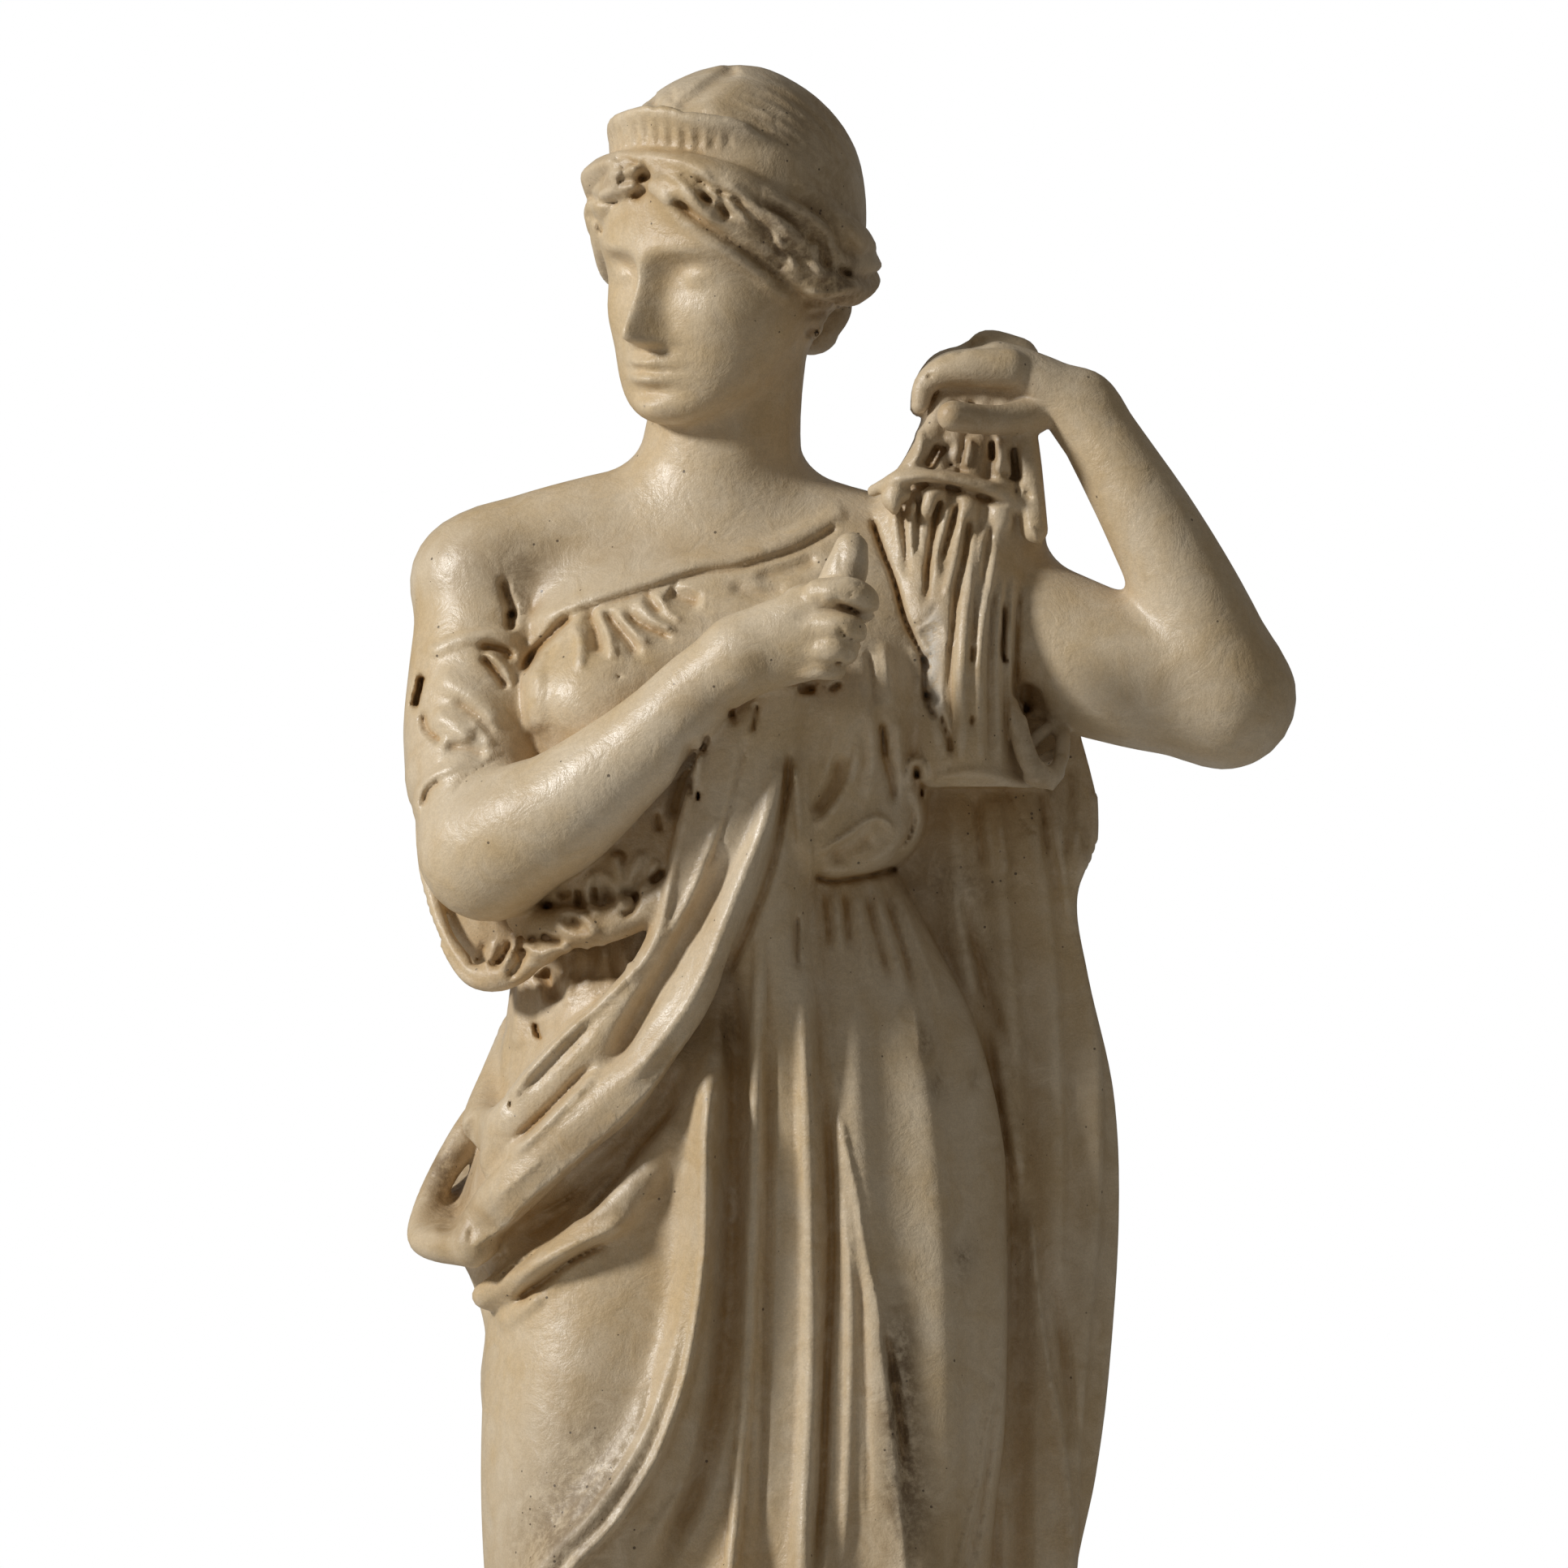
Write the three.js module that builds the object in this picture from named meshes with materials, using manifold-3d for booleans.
// A draped standing woman, a vestal, cast in one piece with its low round base.
// Millimetres, +Z up. She faces -Y, so her right arm is on the -X side and her left arm on the +X side.
import * as THREE from "three";
import { mergeVertices } from "three/addons/utils/BufferGeometryUtils.js";
import Module from "manifold-3d";

const wasm = await Module();
wasm.setup();

const { abs, cos, exp, hypot, max, min, pow, round, sign, sin, sqrt, PI } = Math;
const { clamp, degToRad, lerp, smoothstep } = THREE.MathUtils;

// Driving sizes
const baseRadius = 142;
const baseHeight = 46;
const hemHeight = 52; // underside of the skirt's hem, just inside the base's top
const girdleHeight = 742;
const shoulderHeight = 882;
const chinHeight = 922;
const headHeight = 128; // chin to the top of the hair

const headTurn = -40; // degrees, towards her right shoulder
const headNod = 9; // degrees, chin down
const headLean = 4; // degrees, towards her left shoulder
const headAxis = new THREE.Vector3(-20, -4, chinHeight);

// Numbers between the rows of a table, whose first column is the key, read off a smooth curve.
function read(rows, key) {
  const last = rows.length - 1;
  const at = clamp(key, rows[0][0], rows[last][0]);
  let i = 0;
  while (i < last - 1 && rows[i + 1][0] < at) i++;
  const span = rows[i + 1][0] - rows[i][0];
  const t = (at - rows[i][0]) / span;
  const slope = (row, column) => {
    const before = rows[max(row - 1, 0)];
    const after = rows[min(row + 1, last)];
    return ((after[column] - before[column]) / (after[0] - before[0])) * span;
  };
  return rows[i].slice(1).map((value, n) => {
    const c = n + 1;
    const t2 = t * t;
    const t3 = t2 * t;
    return (
      value * (2 * t3 - 3 * t2 + 1) +
      slope(i, c) * (t3 - 2 * t2 + t) +
      rows[i + 1][c] * (3 * t2 - 2 * t3) +
      slope(i + 1, c) * (t3 - t2)
    );
  });
}

// A closed skin through rings of points: pointAt(around, along), both from 0 to 1.
function skin(columns, rows, pointAt) {
  const points = [];
  for (let j = 0; j < rows; j++)
    for (let i = 0; i < columns; i++) points.push(pointAt(i / columns, j / (rows - 1)));
  const middleOf = (row) =>
    points
      .slice(row * columns, (row + 1) * columns)
      .reduce((sum, p) => sum.add(p), new THREE.Vector3())
      .divideScalar(columns);
  const bottom = points.length;
  points.push(middleOf(0), middleOf(rows - 1));
  const index = [];
  for (let i = 0; i < columns; i++) {
    const next = (i + 1) % columns;
    for (let j = 0; j < rows - 1; j++) {
      const a = j * columns + i;
      const b = j * columns + next;
      index.push(a, b, b + columns, a, b + columns, a + columns);
    }
    const top = (rows - 1) * columns;
    index.push(bottom, next, i, bottom + 1, top + i, top + next);
  }
  const made = new THREE.BufferGeometry().setFromPoints(points);
  made.setIndex(index);
  return made;
}

// A limb, finger or roll of cloth: an oval section carried along a curve, with rounded ends.
// Each row of the path is x, y, z, half the width, half the depth. The width lies across "up" and the curve.
function limb(path, { sides = 8, steps = 8, up = [0, 0, 1] } = {}) {
  const curve = new THREE.CatmullRomCurve3(
    path.map(([x, y, z]) => new THREE.Vector3(x, y, z)),
    false,
    "centripetal",
  );
  const sizes = path.map(([, , , width, depth = width], i) => [i / (path.length - 1), width, depth]);
  const upwards = new THREE.Vector3(...up);
  const ends = [0.94, 0.6]; // how far the rings that round off an end reach past it
  const rows = steps + 2 * ends.length;
  return skin(sides, rows, (around, along) => {
    const row = round(along * (rows - 1));
    const fromEnd = min(row, rows - 1 - row);
    const beyond = fromEnd < ends.length ? ends[fromEnd] : 0;
    const inner = clamp((row - ends.length) / (steps - 1), 0, 1);
    const at = curve.getPoint(inner);
    const forward = curve.getTangent(inner);
    const side = new THREE.Vector3().crossVectors(forward, upwards).normalize();
    const out = new THREE.Vector3().crossVectors(side, forward).normalize();
    const [width, depth] = read(sizes, inner);
    const shrink = sqrt(1 - beyond * beyond);
    const reach = beyond * min(width, depth) * (row < rows / 2 ? -1 : 1);
    const angle = around * 2 * PI;
    return at
      .addScaledVector(forward, reach)
      .addScaledVector(side, cos(angle) * width * shrink)
      .addScaledVector(out, sin(angle) * depth * shrink);
  });
}

// A body of level slices. Each row is z, left edge, right edge, front edge, back edge, squareness.
// "shaped" moves a point outwards, given its place and the way out. "dense" draws the columns to the front,
// and "levels" spaces the rows.
function slices(rowsOfSizes, { columns, rows, shaped = () => 0, dense = 0, levels = (along) => along }) {
  const low = rowsOfSizes[0][0];
  const high = rowsOfSizes.at(-1)[0];
  return skin(columns, rows, (around, along) => {
    const z = lerp(low, high, levels(along));
    const [left, right, front, back, square] = read(rowsOfSizes, z);
    const angle = around * 2 * PI + dense * cos(around * 2 * PI);
    const c = cos(angle);
    const s = sin(angle);
    const across = sign(c) * pow(abs(c), 2 / square);
    const deep = pow(abs(s), 2 / square);
    const at = new THREE.Vector3((left + right) / 2 + (across * (right - left)) / 2, s > 0 ? front * deep : back * deep, z);
    const out = new THREE.Vector3(c, -s, 0);
    return at.addScaledVector(out, shaped(at, out));
  });
}

// Where the front of such a body stands at a place seen from the front
function frontOf(rowsOfSizes, x, z) {
  const [left, right, front, , square] = read(rowsOfSizes, z);
  const across = min(abs((2 * x - left - right) / (right - left)), 0.98);
  return front * pow(1 - pow(across, square), 1 / square);
}

// How far a place is from a line of [x, z] points, and how far along the line it is, from 0 to 1.
function nearest(line, x, z) {
  let best = [Infinity, 0];
  for (let i = 0; i < line.length - 1; i++) {
    const [ax, az] = line[i];
    const [bx, bz] = line[i + 1];
    const t = clamp(((x - ax) * (bx - ax) + (z - az) * (bz - az)) / ((bx - ax) ** 2 + (bz - az) ** 2), 0, 1);
    const far = hypot(x - lerp(ax, bx, t), z - lerp(az, bz, t));
    if (far < best[0]) best = [far, (i + t) / (line.length - 1)];
  }
  return best;
}

// Height of a row of folds at a place seen from the front: each fold is a soft ridge along its line.
function folds(list, x, z) {
  return list.reduce((sum, { line, width, height, fade = 0.15 }) => {
    const [far, along] = nearest(line, x, z);
    const ends = smoothstep(along, 0, fade) * (1 - smoothstep(along, 1 - fade, 1));
    return sum + height * exp(-((far / width) ** 2)) * ends;
  }, 0);
}

// Lines spread evenly between two guide lines that have the same number of points.
function between(first, last, count) {
  return Array.from({ length: count }, (_, i) =>
    first.map((from, n) => from.map((value, k) => lerp(value, last[n][k], count > 1 ? i / (count - 1) : 0))),
  );
}

const swell = (x, z, atX, atZ, wide, tall) => exp(-(((x - atX) / wide) ** 2) - ((z - atZ) / tall) ** 2);

// The skirt and mantle, from the hem to the waist
const skirtSizes = [
  // z, left, right, front, back, squareness
  [hemHeight - 10, -110, 106, -84, 80, 2.2],
  [90, -100, 95, -72, 70, 2.2],
  [160, -93, 86, -62, 60, 2.2],
  [230, -93, 84, -61, 55, 2.2],
  [330, -100, 84, -66, 54, 2.2],
  [420, -107, 82, -67, 58, 2.2],
  [487, -110, 79, -64, 62, 2.2],
  [550, -110, 86, -60, 65, 2.2],
  [604, -109, 88, -56, 65, 2.2],
  [645, -108, 84, -52, 59, 2.2],
  [686, -105, 74, -47, 50, 2.2],
  [717, -101, 60, -44, 42, 2.2],
  [girdleHeight, -96, 47, -42, 38, 2.2],
  [756, -90, 40, -36, 36, 2.2],
];
// The blouse, drawn out over the girdle, from the waist to the collarbones
const blouseSizes = [
  [734, -84, 36, -34, 36, 2.2],
  [739, -94, 47, -46, 42, 2.2],
  [748, -98, 55, -55, 46, 2.2],
  [762, -98, 58, -58, 48, 2.2],
  [785, -96, 59, -56, 48, 2.2],
  [809, -97, 68, -54, 50, 2.2],
  [840, -99, 80, -47, 50, 2.2],
  [862, -95, 82, -35, 44, 2.1],
  [shoulderHeight, -72, 60, -22, 36, 2],
  [897, -46, 10, -14, 26, 2],
];

// The edge of the cloth drawn across her right thigh
const thighEdge = [[-21, 690], [-25, 668], [-27, 621], [-32, 575], [-44, 532], [-62, 497], [-90, 458]];
const frontFolds = [
  { line: thighEdge, width: 7, height: 12 },
  // below her hand's bundle
  { line: [[-17, 520], [-24, 360], [-34, 200], [-36, 130]], width: 8, height: 12 },
  { line: [[12, 520], [8, 380], [0, 200], [-2, 130]], width: 9, height: 13 },
  { line: [[44, 520], [50, 400], [46, 200], [46, 130]], width: 9, height: 11 },
  // folds that hang from the bent right knee
  { line: [[-64, 350], [-60, 250], [-62, 150]], width: 9, height: 12 },
  { line: [[-92, 400], [-90, 270], [-88, 150]], width: 9, height: 10 },
  // her left leg, in long soft folds
  ...between(
    [[26, 736], [26, 660], [34, 560], [38, 440], [34, 240]],
    [[46, 736], [76, 660], [80, 560], [76, 420], [84, 240]],
    3,
  ).map((line) => ({ line, width: 6, height: 3.5 })),
  // small folds below the girdle
  ...between([[-96, 712], [-98, 676]], [[-48, 734], [-58, 706]], 5).map((line) => ({ line, width: 3, height: 2.5 })),
];
const backFolds = between(
  [[50, 760], [-40, 720], [-112, 640], [-118, 560]],
  [[96, 760], [98, 600], [100, 300], [104, 120]],
  9,
).map((line) => ({ line, width: 10, height: 10 }));

// The mantle's lower edge slants across the shins. The pleated gown shows below it.
const mantleHem = (x) => 150 - 0.3 * x;
const hemPleats = 14;
function underMantle(x, z) {
  const below = 1 - smoothstep(z, mantleHem(x) - 5, mantleHem(x) + 3);
  return below * (-7 + 5 * cos((x / 110) * PI * hemPleats * 0.5) * smoothstep(200 - z, 20, 110));
}

function skirt() {
  return slices(skirtSizes, {
    columns: 84,
    rows: 52,
    dense: 0.35,
    shaped: ({ x, z }, out) => {
      const front = smoothstep(-out.y, -0.1, 0.4);
      const back = smoothstep(out.y, -0.1, 0.4);
      const limbs =
        9 * swell(x, z, -20, 655, 50, 50) + // belly
        22 * swell(x, z, -74, 520, 34, 95) + // right thigh
        24 * swell(x, z, -68, 355, 32, 75) + // right knee
        8 * swell(x, z, 54, 560, 34, 130); // left thigh
      const seat = 12 * swell(x, z, -45, 575, 45, 55) + 12 * swell(x, z, 45, 585, 45, 55);
      return (
        front * (limbs + folds(frontFolds, x, z)) + back * (seat + folds(backFolds, x, z)) + underMantle(x, z)
      );
    },
  });
}

const breast = (x, z) => 17 * swell(x, z, -70, 812, 25, 25) + 14 * swell(x, z, 20, 812, 26, 26);
const onBlouse = (x, z, lift) => frontOf(blouseSizes, x, z) - breast(x, z) - lift;
const blouseFolds = [
  ...between([[-94, 836], [-100, 816], [-98, 790]], [[-34, 853], [-44, 832], [-50, 806]], 6).map((line) => ({
    line,
    width: 3.6,
    height: 4,
  })),
  // folds drawn towards her right hand
  ...between([[12, 806], [-12, 770], [-30, 744]], [[22, 806], [44, 780], [52, 748]], 5).map((line) => ({
    line,
    width: 4.5,
    height: 4,
  })),
];

function blouse() {
  return slices(blouseSizes, {
    columns: 64,
    rows: 20,
    dense: 0.4,
    shaped: ({ x, z }, out) => {
      const front = smoothstep(-out.y, -0.1, 0.4);
      const back = smoothstep(out.y, -0.1, 0.4);
      const backDrape = between([[50, 880], [0, 820], [-60, 760]], [[84, 850], [90, 800], [96, 745]], 5);
      return (
        front * (breast(x, z) + folds(blouseFolds, x, z)) +
        back * folds(backDrape.map((line) => ({ line, width: 9, height: 8 })), x, z)
      );
    },
  });
}

// The rolled top edge of the blouse, from her left shoulder under her right arm
function neckline() {
  const path = [[28, 886], [19, 879], [-3, 871], [-19, 866], [-40, 861], [-62, 857], [-84, 852], [-98, 846]];
  return limb(
    path.map(([x, z]) => [x, onBlouse(x, z, 0.5), z, 3.2, 4]),
    { sides: 6, steps: 12, up: [0, -1, 0] },
  );
}

// Collarbones and shoulders, one rounded bar from shoulder to shoulder
function shoulders() {
  return limb(
    [
      [-118, 3, 857, 25, 24],
      [-98, 5, 864, 25, 26],
      [-62, 8, 874, 26, 26],
      [-22, 10, 878, 28, 29],
      [24, 8, 868, 26, 24],
      [64, 6, 858, 26, 25],
      [84, 4, 852, 26, 26],
    ],
    { sides: 14, steps: 12, up: [0, 0, 1] },
  );
}

function neck() {
  return limb(
    [
      [-24, 12, 868, 44, 36],
      [-23, 9, 890, 37, 33],
      [-22, 6, 908, 31, 31],
      [-20, 3, 930, 29, 30],
      [-18, 0, 956, 30, 31],
    ],
    { sides: 16, steps: 8, up: [0, 1, 0] },
  );
}

// Her right arm comes down and lies across her chest
function rightArm() {
  return [
    limb(
      [
        [-112, 4, 860, 24, 26],
        [-116, -1, 835, 23.5, 25],
        [-118, -14, 805, 23.5, 25],
        [-117, -32, 775, 25, 26],
        [-115, -46, 752, 26, 27],
      ],
      { sides: 14, steps: 9, up: [0, 1, 0] },
    ),
    limb(
      [
        [-114, -48, 752, 27, 27],
        [-92, -60, 770, 28, 27],
        [-60, -72, 789, 24.5, 23],
        [-28, -82, 813, 17, 17],
        [-10, -86, 825, 15, 14],
      ],
      { sides: 14, steps: 10, up: [0, -0.4, 1] },
    ),
  ];
}

// The back of the right hand faces forward. The fingers curl in to the breast and the thumb points up.
function rightHand() {
  const palm = limb(
    [
      [-14, -86, 823, 14, 13],
      [4, -90, 830, 18, 11],
      [20, -93, 834, 20, 10.5],
      [32, -92, 836, 19, 10],
    ],
    { sides: 10, steps: 6, up: [0, -1, 0] },
  );
  const knuckles = between([[33, -94, 850]], [[29, -94, 821]], 4).map(([[x, y, z]], i) =>
    limb(
      [
        [x - 4, y + 1, z, 5.4],
        [x + 7, y + 1, z - 2, 5.6],
        [x + 11 - i, y + 8, z - 5, 5.2],
        [x + 4, y + 17, z - 7, 4.6],
      ],
      { sides: 6, steps: 5 },
    ),
  );
  const thumb = limb(
    [
      [10, -90, 843, 7.5],
      [21, -93, 854, 7.2],
      [27, -94, 864, 6.8],
      [28, -94, 871, 5.2],
    ],
    { sides: 8, steps: 5, up: [0, 1, 0] },
  );
  return [palm, ...knuckles, thumb];
}

// Her left arm goes out to the elbow and back up over the shoulder
function leftArm() {
  return [
    limb(
      [
        [70, 2, 848, 30, 30],
        [102, -6, 833, 29, 30],
        [136, -14, 821, 28, 28],
        [170, -20, 813, 25, 26],
      ],
      { sides: 12, steps: 7 },
    ),
    limb(
      [
        [171, -20, 812, 26, 26],
        [160, -21, 844, 21, 23],
        [143, -20, 878, 18, 19],
        [125, -17, 909, 15, 15.5],
        [116, -15, 924, 14, 14],
      ],
      { sides: 12, steps: 9, up: [0, 1, 0] },
    ),
  ];
}

function leftHand() {
  const palm = limb(
    [
      [118, -15, 921, 14, 13],
      [106, -14, 934, 16, 11],
      [93, -13, 943, 18, 9.5],
      [82, -13, 946, 18, 9],
    ],
    { sides: 10, steps: 6 },
  );
  const fingers = [-24, -15, -6, 3].map((y, i) =>
    limb(
      [
        [84, y, 945, 5.6],
        [70, y - 1, 943 + i, 5.8],
        [60, y - 1, 935 + i, 5.4],
        [56, y - 1, 925 + i, 4.8],
      ],
      { sides: 6, steps: 5, up: [0, 1, 0] },
    ),
  );
  const thumb = limb(
    [
      [102, -20, 928, 8],
      [88, -28, 922, 7],
      [74, -36, 918, 6],
    ],
    { sides: 8, steps: 5 },
  );
  return [palm, ...fingers, thumb];
}

// The head, in its own frame: chin at z = 0, face towards -y, then turned, nodded and leant
const headSizes = [
  // z, middle y, half width, front, back
  [0, -35, 8, 6, 6],
  [3, -32, 16, 13, 12],
  [8, -27, 24, 20, 20],
  [16, -20, 31, 27, 28],
  [26, -13, 36, 33.5, 40],
  [40, -6, 41, 40, 52],
  [54, 0, 44, 45.5, 57],
  [66, 0, 46, 47.5, 59],
  [80, 0, 47, 47, 60],
  [94, 2, 45, 45, 57],
  [107, 3, 38, 38, 50],
  [118, 4, 27, 26, 37],
  [124, 5, 16, 15, 22],
  [headHeight - 1, 6, 5, 5, 6],
];
const noseSizes = [
  // z, how far it stands out, half width
  [30, 0, 8],
  [33, 10, 8],
  [35, 15, 7],
  [38, 16.5, 5.6],
  [43, 14, 4.8],
  [50, 10, 4.4],
  [57, 6.5, 4.2],
  [63, 4.5, 5],
  [72, 1, 8],
  [78, 0, 10],
];

function faceRelief(x, z) {
  const [noseOut, noseHalf] = read(noseSizes, z);
  const inNose = z > noseSizes[0][0] && z < noseSizes.at(-1)[0] ? noseOut * exp(-((x / noseHalf) ** 2)) : 0;
  const pair = (at, high, wide, tall) => swell(abs(x), z, at, high, wide, tall);
  return (
    inNose -
    8 * pair(15, 58, 9, 6.5) + // eye sockets
    6 * pair(17, 57, 6.5, 4) + // eyes
    2.5 * pair(17, 68, 14, 4) + // brows
    2 * pair(27, 42, 11, 10) + // cheekbones
    3 * swell(x, z, 0, 22, 14, 9) + // mouth, as a whole
    3 * swell(x, z, 0, 25, 9, 2) + // upper lip
    3.2 * swell(x, z, 0, 18.5, 8, 2.4) - // lower lip
    3 * swell(x, z, 0, 21.8, 11, 1.3) - // between the lips
    2.4 * swell(x, z, 0, 13.5, 10, 2.6) + // above the chin
    3.5 * swell(x, z, 0, 6.5, 9, 5) // chin
  );
}

function head() {
  return skin(36, 40, (around, along) => {
    const z = read([[0, 0], [0.78, 0.58], [1, 1]], along)[0] * (headHeight - 6);
    const [middle, half, front, back] = read(headSizes, z);
    // the columns crowd together on the face, a quarter of the way round
    const turn = around * 2 * PI;
    const angle = turn + 0.45 * cos(turn);
    const c = cos(angle);
    const s = sin(angle);
    const x = half * sign(c) * pow(abs(c), 0.9);
    const relief = s > 0 ? smoothstep(s, 0.1, 0.5) * faceRelief(x, z) : 0;
    return new THREE.Vector3(x, middle - (s > 0 ? front : back) * s - relief, z);
  });
}

// Hair: a smooth crown, waves swept back over the ears from a centre parting, and a knot at the nape.
// A place on it is given by a bearing in degrees, 0 at the forehead and 90 at an ear, and a height.
const crownSizes = [
  // z, half width, front, back
  [38, 38, 30, 46],
  [56, 45, 42, 54],
  [76, 47.5, 45, 56],
  [94, 46, 45, 53],
  [107, 41, 42, 47],
  [118, 33, 36, 37],
  [126, 23, 26, 26],
  [131, 12, 12, 16],
  [133, 3, 3, 4],
];
const hairEdges = [
  // bearing, lower edge, upper edge where the diadem sits
  [0, 90, 106],
  [18, 86, 104],
  [34, 75, 99],
  [50, 64, 93],
  [66, 54, 86],
  [80, 46, 80],
  [105, 42, 70],
  [135, 44, 62],
  [160, 48, 56],
];
const diademSizes = [
  // bearing, middle height, half the height
  [0, 114, 9],
  [42, 106.5, 9],
  [60, 99, 8],
  [80, 88, 5],
  [94, 81, 1.5],
];

function around(side, bearing, z, out) {
  const b = degToRad(bearing);
  return [side * (46.5 + out) * sin(b), 4 - (48 + out) * cos(b) + 4 * sin(b), z];
}

function hair() {
  const crown = skin(24, 11, (turn, along) => {
    const z = lerp(crownSizes[0][0], crownSizes.at(-1)[0], sin((along * PI) / 2));
    const [half, front, back] = read(crownSizes, z);
    const angle = turn * 2 * PI;
    return new THREE.Vector3(half * cos(angle), 6 - (sin(angle) > 0 ? front : back) * sin(angle), z);
  });
  const diadem = skin(6, 48, (turn, along) => {
    const bearing = lerp(-94, 94, along);
    const [middle, tall] = read(diademSizes, abs(bearing));
    const flute = 1.4 * cos((abs(bearing) / 7) * PI) * (1 - smoothstep(abs(bearing), 50, 66));
    const up = [-1, -0.9, 0.9, 1, 0.4, -0.4][round(turn * 6)];
    const out = [-3, 0, 2, -1, -9, -9][round(turn * 6)] + (round(turn * 6) === 1 ? flute : 0);
    return new THREE.Vector3(...around(sign(bearing) || 1, abs(bearing), middle + up * tall, out));
  });
  const locks = 3;
  const waves = [-1, 1].flatMap((side) =>
    Array.from({ length: locks }, (_, n) =>
      limb(
        Array.from({ length: 9 }, (_, i) => {
          const bearing = lerp(2, 156, i / 8);
          const [low, high] = read(hairEdges, bearing);
          const thick = ((high - low) / locks) * 0.62;
          const sway = 1.6 * sin(i * 1.9 + n * 2.1);
          const z = lerp(low, high, (n + 0.5) / locks) + sway * 0.6;
          const full = side < 0 ? 3.5 * smoothstep(bearing, 10, 50) : 0;
          return [...around(side, bearing, z, full + sway + (i === 0 ? -3 : 0)), 6.5, thick];
        }),
        { sides: 6, steps: 12 },
      ),
    ),
  );
  const knot = limb(
    [
      [0, 46, 46, 14, 12],
      [0, 52, 35, 16, 13],
      [0, 49, 25, 12, 9],
    ],
    { sides: 10, steps: 4, up: [0, 1, 0] },
  );
  return [crown, diadem, ...waves, knot];
}

function wholeHead() {
  const pose = new THREE.Euler(degToRad(headNod), degToRad(headLean), degToRad(headTurn), "ZXY");
  const pivot = new THREE.Vector3(0, 0, headHeight * 0.4);
  const placing = new THREE.Matrix4()
    .makeTranslation(headAxis.x, headAxis.y, headAxis.z + pivot.z)
    .multiply(new THREE.Matrix4().makeRotationFromEuler(pose))
    .multiply(new THREE.Matrix4().makeTranslation(-pivot.x, -pivot.y, -pivot.z));
  return [head(), ...hair()].map((piece) => piece.applyMatrix4(placing));
}

// The mantle's rolls, from behind the right hip across to the right hand
function mantleRolls() {
  const upper = [
    [-20, 50, 748, 6, 5],
    [-62, 48, 726, 7, 7],
    [-88, 36, 702, 8, 8],
    [-101, 8, 674, 8, 9],
    [-100, -38, 656, 13, 9],
    [-82, -54, 671, 15, 9],
    [-56, -61, 693, 13, 9],
    [-33, -68, 721, 11, 9],
    [-12, -75, 754, 10, 8],
    [8, -84, 814, 8, 7],
  ];
  const lower = [
    [-20, 62, 702, 6, 6],
    [-62, 60, 672, 8, 8],
    [-92, 46, 646, 9, 9],
    [-118, 18, 622, 9, 9],
    [-129, -18, 608, 8, 9],
    [-110, -48, 611, 11, 10],
    [-84, -60, 631, 12, 11],
    [-49, -69, 665, 12, 11],
    [-24, -74, 702, 11, 11],
    [-8, -79, 748, 9, 9],
    [12, -86, 812, 7, 8],
  ];
  const under = [
    [-114, -34, 586, 5],
    [-84, -59, 600, 7],
    [-55, -64, 629, 7],
    [-33, -64, 655, 7],
    [-23, -62, 676, 5],
  ];
  const outer = [
    [-16, 56, 728, 5],
    [-60, 54, 704, 6],
    [-90, 36, 686, 6],
    [-105, 14, 665, 6],
    [-119, -2, 643, 6],
    [-134, -14, 617, 6],
    [-135, -30, 604, 6.5],
    [-116, -46, 604, 9],
  ];
  return [
    limb(upper, { sides: 10, steps: 22, up: [0, -1, 0] }),
    limb(lower, { sides: 10, steps: 24, up: [0, -1, 0] }),
    limb(under, { sides: 8, steps: 10, up: [0, -1, 0] }),
    limb(outer, { sides: 8, steps: 14, up: [0, -1, 0] }),
  ];
}

function hipPouch() {
  return slices(
    [
      [574, -108, -60, -36, 30, 2],
      [590, -116, -50, -44, 36, 2],
      [604, -126, -44, -48, 42, 2],
      [622, -122, -36, -50, 46, 2],
      [650, -110, -30, -53, 46, 2],
      [676, -100, -28, -53, 42, 2],
      [704, -98, -26, -46, 34, 2],
    ],
    { columns: 24, rows: 11 },
  );
}

// The end of the mantle, gathered in her right hand and hanging straight down from it
const endFolds = [
  { line: [[-4, 800], [-7, 745], [-7, 704], [-8, 650], [-10, 568], [-17, 460]], width: 3.6, height: 11 },
  { line: [[7, 806], [10, 745], [11, 700], [14, 640], [14, 560], [12, 460]], width: 6, height: 12 },
  { line: [[16, 760], [24, 700], [30, 640], [34, 590], [42, 540], [50, 460]], width: 5, height: 6 },
];
function mantleEnd() {
  return slices(
    [
      [440, -40, 46, -58, -20, 2.4],
      [520, -30, 48, -58, -20, 2.4],
      [600, -26, 40, -58, -20, 2.4],
      [660, -24, 32, -59, -20, 2.4],
      [710, -22, 26, -60, -20, 2.4],
      [750, -18, 21, -66, -20, 2.4],
      [780, -14, 20, -72, -20, 2.4],
      [800, -10, 22, -79, -30, 2.4],
      [822, -8, 24, -84, -40, 2.4],
    ],
    {
      columns: 40,
      rows: 24,
      dense: 0.5,
      shaped: ({ x, z }, out) => smoothstep(-out.y, 0, 0.5) * folds(endFolds, x, z),
    },
  );
}

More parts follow.
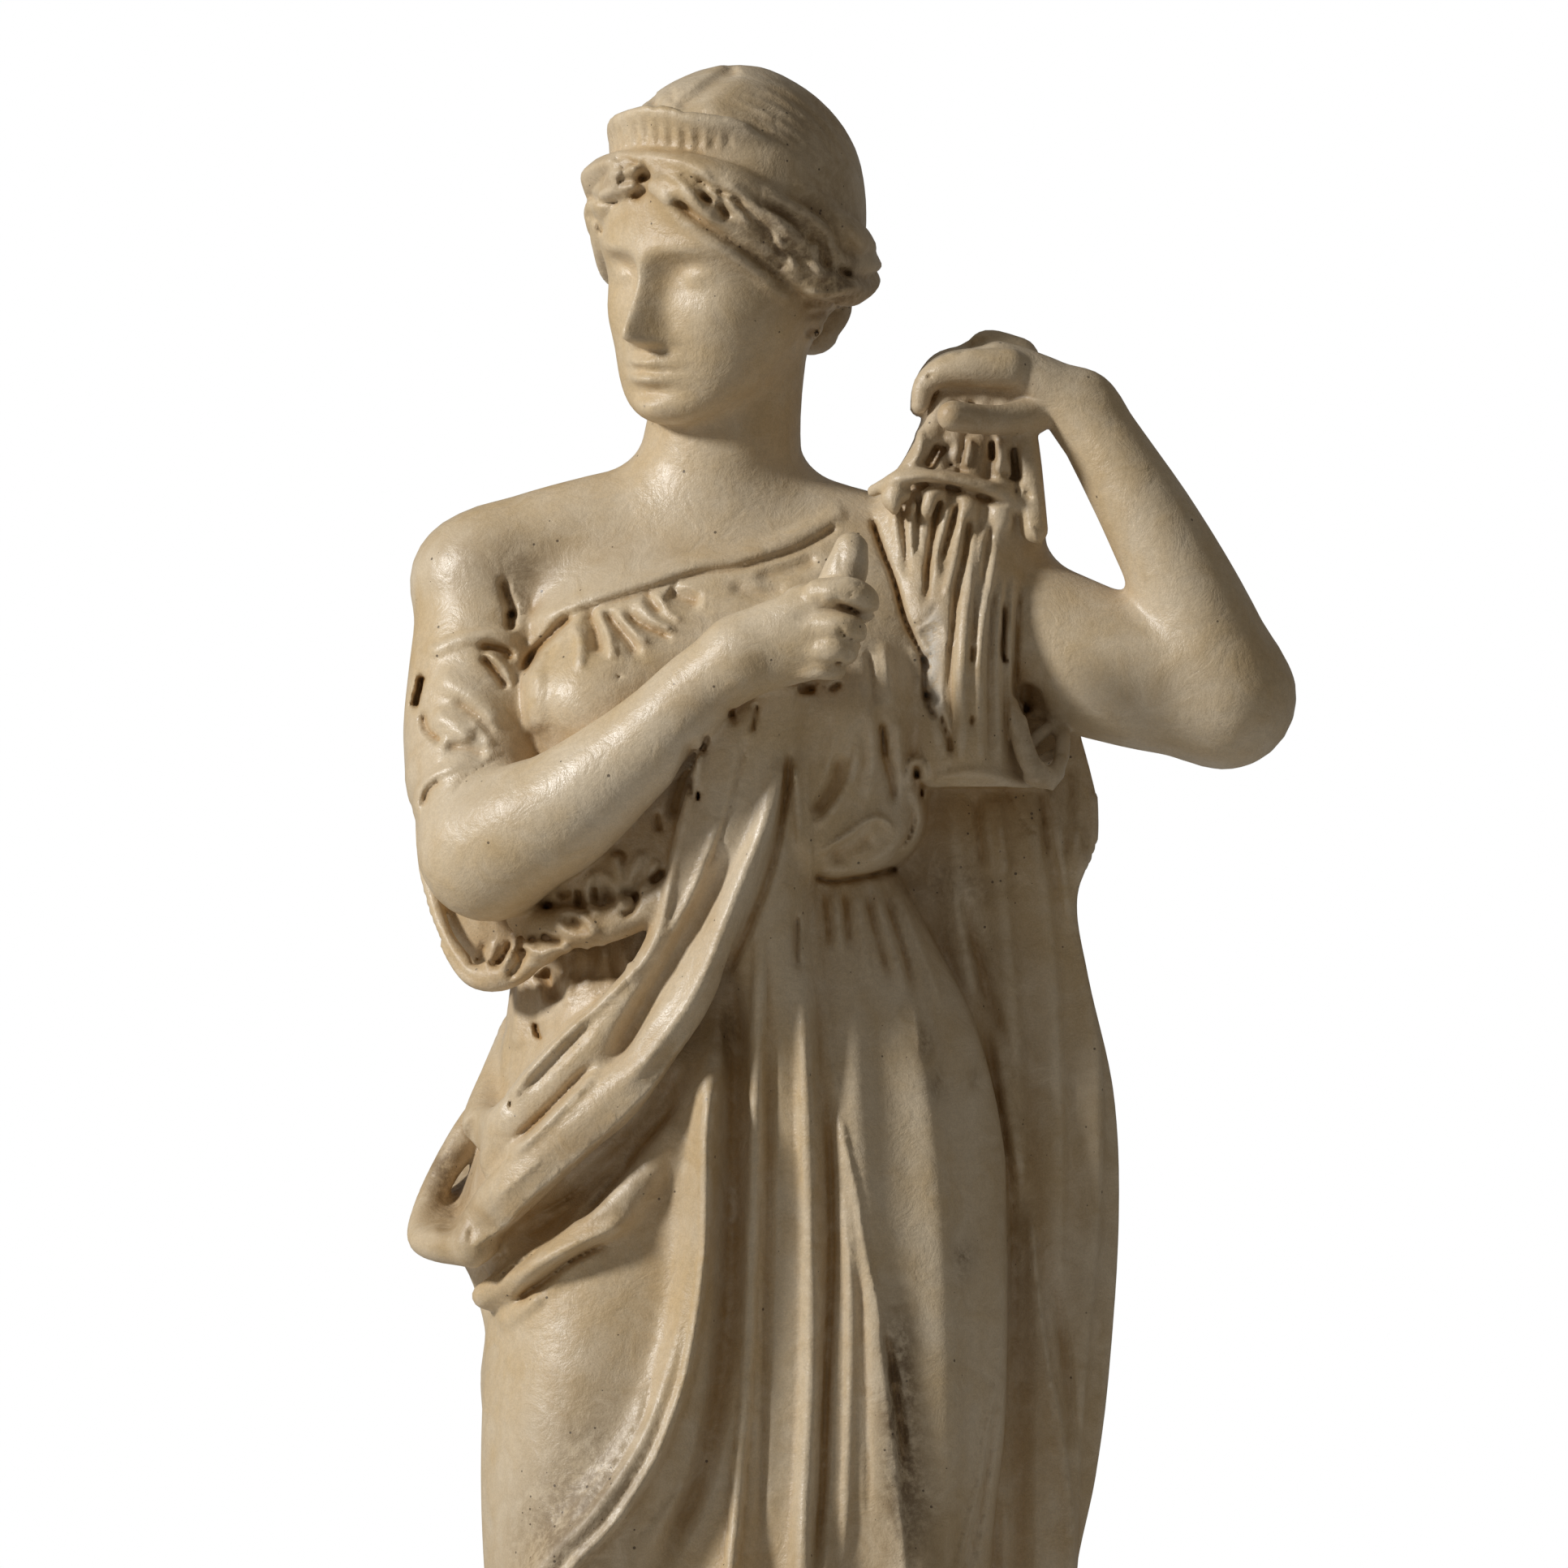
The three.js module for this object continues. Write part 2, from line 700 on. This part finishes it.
const backOutline = [
  // z, left, right, front, back, squareness
  [110, 30, 98, -6, 76, 2.6],
  [300, 26, 108, -8, 64, 2.6],
  [470, 22, 114, -8, 58, 3],
  [512, 20, 122, -6, 58, 3],
  [550, 12, 127, -4, 60, 3],
  [612, 4, 131, -4, 64, 3],
  [660, 0, 129, -4, 62, 3],
  [706, 0, 119, -4, 60, 3],
  [735, 0, 115, -4, 58, 3],
  [762, 0, 123, -4, 58, 3],
  [795, 4, 117, 0, 55, 3],
  [830, 14, 104, 4, 48, 2.6],
  [858, 30, 92, 6, 38, 2.2],
  [878, 46, 78, 8, 26, 2],
];
function hangingBack() {
  const pleats = between([[64, 800], [76, 650], [84, 500], [80, 120]], [[106, 800], [118, 650], [108, 500], [98, 120]], 4);
  const ridges = pleats.map((line) => ({ line, width: 5.5, height: 7 }));
  return slices(backOutline, {
    columns: 36,
    rows: 24,
    levels: (along) => read([[0, 0], [0.3, 0.5], [1, 1]], along)[0],
    shaped: ({ x, z }, out) => folds(ridges, x, z) * smoothstep(abs(out.y), 0.2, 0.6),
  });
}

// Cloth lifted by her left hand in a gathered bunch
function liftedCloth() {
  const bunch = slices(
    [
      [850, 24, 104, -28, 30, 2.4],
      [872, 27, 103, -28, 26, 2.4],
      [888, 36, 101, -26, 20, 2.4],
      [904, 48, 99, -24, 12, 2.4],
      [920, 55, 97, -22, 6, 2.4],
      [944, 60, 97, -20, 4, 2.4],
    ],
    { columns: 20, rows: 9 },
  );
  const gathers = between(
    [
      [66, -20, 930, 4],
      [56, -27, 908, 4.5],
      [44, -30, 888, 5],
    ],
    [
      [92, -16, 930, 4],
      [95, -22, 906, 5],
      [98, -24, 876, 5],
    ],
    5,
  ).map((path) => limb(path, { sides: 6, steps: 4, up: [0, -1, 0.2] }));
  // the rolled edge across the top of the pleats
  const edge = limb(
    [
      [34, -24, 892, 3],
      [46, -34, 896, 3.4],
      [62, -37, 895.5, 3.4],
      [80, -34, 891, 3.4],
      [94, -26, 884, 3],
    ],
    { sides: 6, steps: 8 },
  );
  return [bunch, ...gathers, edge];
}

// The pleats that fall from the left shoulder over the breast, as a short cape round the arm
function shoulderCape() {
  const panel = slices(
    [
      [778, 50, 104, -50, 0, 2.6],
      [786, 46, 105, -53, 10, 2.6],
      [820, 38, 99, -52, 20, 2.6],
      [850, 32, 98, -44, 20, 2.6],
      [882, 32, 94, -24, 20, 2.4],
    ],
    { columns: 24, rows: 8 },
  );
  const pleats = between(
    [
      [37, -30, 886, 5, 5],
      [42, -44, 862, 5.5, 6],
      [50, -55, 826, 6, 6],
      [60, -54, 784, 6, 6],
    ],
    [
      [88, -24, 884, 4.5, 5],
      [92, -34, 858, 5, 5],
      [90, -43, 822, 5, 6],
      [92, -45, 783, 6, 6],
    ],
    7,
  ).map((path) => limb(path, { sides: 7, steps: 8, up: [0, -1, 0.2] }));
  const loop = limb(
    [
      [92, -40, 812, 4],
      [93, -44, 790, 4.5],
      [100, -42, 780, 4.5],
      [107, -34, 786, 4.5],
      [110, -24, 800, 4],
      [108, -14, 812, 4],
    ],
    { sides: 7, steps: 10, up: [0, -1, 0] },
  );
  return [panel, ...pleats, loop];
}

// The knotted cloth at the girdle, below her right forearm
function girdleKnot() {
  return [
    ...between([[-90, -42, 738, 6]], [[-42, -60, 746, 7]], 6).map(([[x, y, z, r]], i) =>
      limb(
        [
          [x - 2, y + 2, z + 16, r],
          [x + 2, y - 6, z + 2, r * 1.1],
          [x + 8 - (i % 3) * 5, y, z - 14 - (i % 2) * 6, r * 0.8],
        ],
        { sides: 6, steps: 4 },
      ),
    ),
    limb(
      [
        [-92, -26, 744, 14],
        [-66, -42, 744, 15],
        [-36, -48, 754, 14],
      ],
      { sides: 8, steps: 5 },
    ),
    limb(
      [
        [-98, -34, 728, 6],
        [-74, -54, 724, 7],
        [-50, -60, 732, 7],
        [-30, -60, 746, 7],
      ],
      { sides: 6, steps: 6 },
    ),
  ];
}

// The sleeve's lower edge hangs in a loop below her right elbow
function elbowSling() {
  const rim = limb(
    [
      [-134, 6, 818, 7],
      [-138, 0, 776, 5],
      [-134, -8, 746, 5],
      [-129, -16, 722, 6],
      [-117, -28, 706, 7],
      [-104, -38, 706, 7],
      [-92, -46, 716, 7],
      [-80, -50, 728, 6],
    ],
    { sides: 8, steps: 16, up: [0, -1, 0] },
  );
  const inside = slices(
    [
      [704, -120, -86, -24, 10, 2],
      [722, -130, -72, -26, 20, 2],
      [750, -136, -66, -24, 24, 2],
      [790, -138, -70, -16, 24, 2],
      [820, -132, -80, -10, 20, 2],
    ],
    { columns: 18, rows: 7 },
  );
  const folds = between([[-112, -36, 706, 4], [-98, -46, 724, 4]], [[-98, -42, 708, 4], [-84, -52, 730, 4]], 3);
  return [rim, inside, ...folds.map((path) => limb(path, { sides: 6, steps: 4, up: [0, -1, 0] }))];
}

// The sleeve on the right upper arm: a rolled edge, a few rings of folds and a button in a slot
function sleeve() {
  const cloth = limb(
    [
      [-113, 1, 848, 26, 26],
      [-114, -6, 824, 28, 29],
      [-115, -14, 800, 29, 31],
      [-116, -24, 780, 27, 28],
    ],
    { sides: 18, steps: 8, up: [0, 1, 0] },
  );
  const ring = (from, to, drop, thick) =>
    limb(
      Array.from({ length: 6 }, (_, i) => {
        const angle = degToRad(lerp(from, to, i / 5));
        const reach = 29 - 5 * ((2 * i) / 5 - 1) ** 2;
        return [-114 + reach * sin(angle), -16 - reach * cos(angle), 808 + drop + i, thick];
      }),
      { sides: 6, steps: 7 },
    );
  const edge = limb(
    [
      [-141, -4, 829, 3],
      [-131, -24, 833, 3.2],
      [-112, -31, 837, 3.2],
      [-96, -18, 843, 3],
    ],
    { sides: 6, steps: 7 },
  );
  return [cloth, edge, ring(-60, 40, -14, 4), ring(-30, 60, -3, 4), ring(-75, 20, 9, 3.6)];
}

// Toes below the hem
function feet() {
  const foot = (x, y, turn) => {
    const ahead = [sin(turn), -cos(turn)];
    const at = (along, high, width, depth) => [x + ahead[0] * along, y + ahead[1] * along, high, width, depth];
    return limb([at(0, 64, 20, 16), at(18, 60, 20, 12), at(34, 55, 18, 8), at(44, 53, 12, 6)], { sides: 10, steps: 6 });
  };
  return [foot(-62, -66, degToRad(-18)), foot(40, -62, degToRad(12))];
}

function base() {
  const profile = [
    [0, 0],
    [baseRadius, 0],
    [baseRadius, 10],
    [baseRadius - 4, 14],
    [baseRadius - 6, baseHeight - 12],
    [baseRadius - 2, baseHeight - 8],
    [baseRadius - 3, baseHeight - 2],
    [baseRadius - 6, baseHeight],
    [0, baseHeight],
  ].map(([r, z]) => new THREE.Vector2(r, z));
  return new THREE.LatheGeometry(profile, 64).rotateX(PI / 2);
}

// A closed geometry as a solid, with its faces turned outwards
function solid(geometry) {
  const bare = geometry.clone();
  for (const name of ["normal", "uv"]) bare.deleteAttribute(name);
  const merged = mergeVertices(bare, 1e-3);
  const triVerts = new Uint32Array(merged.index.array);
  const vertProperties = merged.attributes.position.array;
  const corner = (n) => new THREE.Vector3().fromArray(vertProperties, 3 * triVerts[n]);
  let volume = 0;
  for (let i = 0; i < triVerts.length; i += 3) volume += corner(i).dot(corner(i + 1).cross(corner(i + 2)));
  if (volume < 0)
    for (let i = 0; i < triVerts.length; i += 3)
      [triVerts[i + 1], triVerts[i + 2]] = [triVerts[i + 2], triVerts[i + 1]];
  return new wasm.Manifold(new wasm.Mesh({ numProp: 3, vertProperties, triVerts }));
}

// All the forms joined into one casting, without the voids between them
function cast(forms) {
  const joined = wasm.Manifold.union(forms.map(solid));
  const outer = joined.decompose().reduce((a, b) => (b.volume() > a.volume() ? b : a));
  const { vertProperties, triVerts } = outer.getMesh();
  const made = new THREE.BufferGeometry();
  made.setAttribute("position", new THREE.BufferAttribute(vertProperties, 3));
  made.setIndex(new THREE.BufferAttribute(triVerts, 1));
  made.computeVertexNormals();
  return made;
}

// The face and the hands keep more triangles than the rest.
const fineSpots = [
  // x, y, z, reach
  [-46, -34, 968, 48],
  [24, -92, 838, 32],
  [78, -16, 936, 36],
];
const detailAt = (p) => (fineSpots.some(([x, y, z, reach]) => hypot(p.x - x, p.y - y, p.z - z) < reach) ? 12 : 1);

// The same skin with fewer triangles. The edges that show least are drawn together, a few at a time,
// each one to whichever of its ends or its middle strays least from the planes around it.
function thin(geometry, wanted) {
  const place = geometry.attributes.position;
  const points = Array.from({ length: place.count }, (_, i) => new THREE.Vector3().fromBufferAttribute(place, i));
  const faces = [];
  const facesOf = points.map(() => new Set());
  const planes = points.map(() => new Float64Array(10));
  const normalOf = ([a, b, c], at = (i) => points[i]) =>
    new THREE.Vector3().crossVectors(at(b).clone().sub(at(a)), at(c).clone().sub(at(a)));
  for (let i = 0; i < geometry.index.count; i += 3) {
    const face = Array.from(geometry.index.array.subarray(i, i + 3));
    const normal = normalOf(face);
    const area = normal.length() / 2;
    normal.normalize();
    const plane = [...normal, -normal.dot(points[face[0]])];
    const weight = area * detailAt(points[face[0]]);
    for (const corner of face) {
      facesOf[corner].add(faces.length);
      let n = 0;
      for (let j = 0; j < 4; j++) for (let k = j; k < 4; k++) planes[corner][n++] += weight * plane[j] * plane[k];
    }
    faces.push(face);
  }
  const strays = (a, b, p) => {
    const [xx, xy, xz, xw, yy, yz, yw, zz, zw, ww] = planes[a].map((value, n) => value + planes[b][n]);
    return (
      xx * p.x * p.x + yy * p.y * p.y + zz * p.z * p.z + ww +
      2 * (xy * p.x * p.y + xz * p.x * p.z + yz * p.y * p.z + xw * p.x + yw * p.y + zw * p.z)
    );
  };
  const around = (a) => new Set([...facesOf[a]].flatMap((f) => faces[f]).filter((other) => other !== a));
  const flips = (a, b, p) =>
    [...facesOf[a]].some((f) => {
      if (faces[f].includes(b)) return false;
      const before = normalOf(faces[f]);
      const after = normalOf(faces[f], (i) => (i === a ? p : points[i]));
      return after.length() < 0.02 || after.dot(before) < 0.3 * after.length() * before.length();
    });
  let left = faces.length;
  while (left > wanted) {
    const edges = [];
    faces.forEach((face) => {
      if (!face) return;
      face.forEach((a, n) => {
        const b = face[(n + 1) % 3];
        if (a > b) return;
        const middle = points[a].clone().lerp(points[b], 0.5);
        const best = [points[a], points[b], middle]
          .map((p) => [strays(a, b, p), p])
          .reduce((x, y) => (y[0] < x[0] ? y : x));
        edges.push([best[0] + 1e-4 * points[a].distanceToSquared(points[b]), a, b, best[1].clone()]);
      });
    });
    edges.sort((x, y) => x[0] - y[0]);
    const touched = new Set();
    const before = left;
    for (const [, a, b, p] of edges.slice(0, max(edges.length >> 3, 200))) {
      if (left <= wanted) break;
      if (touched.has(a) || touched.has(b)) continue;
      const aroundA = around(a);
      const aroundB = around(b);
      const shared = [...aroundA].filter((n) => aroundB.has(n));
      if (shared.length !== 2 || flips(a, b, p) || flips(b, a, p)) continue;
      for (const n of [...aroundA, ...aroundB]) touched.add(n);
      for (const f of [...facesOf[b]]) {
        if (faces[f].includes(a)) {
          for (const corner of faces[f]) facesOf[corner].delete(f);
          faces[f] = null;
          left--;
        } else {
          faces[f] = faces[f].map((corner) => (corner === b ? a : corner));
          facesOf[a].add(f);
        }
      }
      planes[a] = planes[a].map((value, n) => value + planes[b][n]);
      points[a] = p;
    }
    if (left === before) break;
  }
  const made = new THREE.BufferGeometry().setFromPoints(points);
  made.setIndex(faces.filter(Boolean).flat());
  const bare = mergeVertices(made.toNonIndexed(), 1e-6);
  bare.computeVertexNormals();
  return bare;
}

const plaster = new THREE.MeshStandardMaterial({ color: 0xcabd9f, roughness: 0.5, metalness: 0 });
const wantedTriangles = 9800;
const forms = [
    base(),
    ...feet(),
    skirt(),
    blouse(),
    neckline(),
    shoulders(),
    neck(),
    ...wholeHead(),
    hangingBack(),
    ...mantleRolls(),
    hipPouch(),
    mantleEnd(),
    ...girdleKnot(),
    ...elbowSling(),
    ...sleeve(),
    ...rightArm(),
    ...rightHand(),
    ...shoulderCape(),
    ...liftedCloth(),
    ...leftArm(),
    ...leftHand(),
];
const statue = new THREE.Mesh(thin(cast(forms), wantedTriangles), plaster);
statue.name = "statue";

const vestal = new THREE.Group();
vestal.add(statue);
export default vestal;
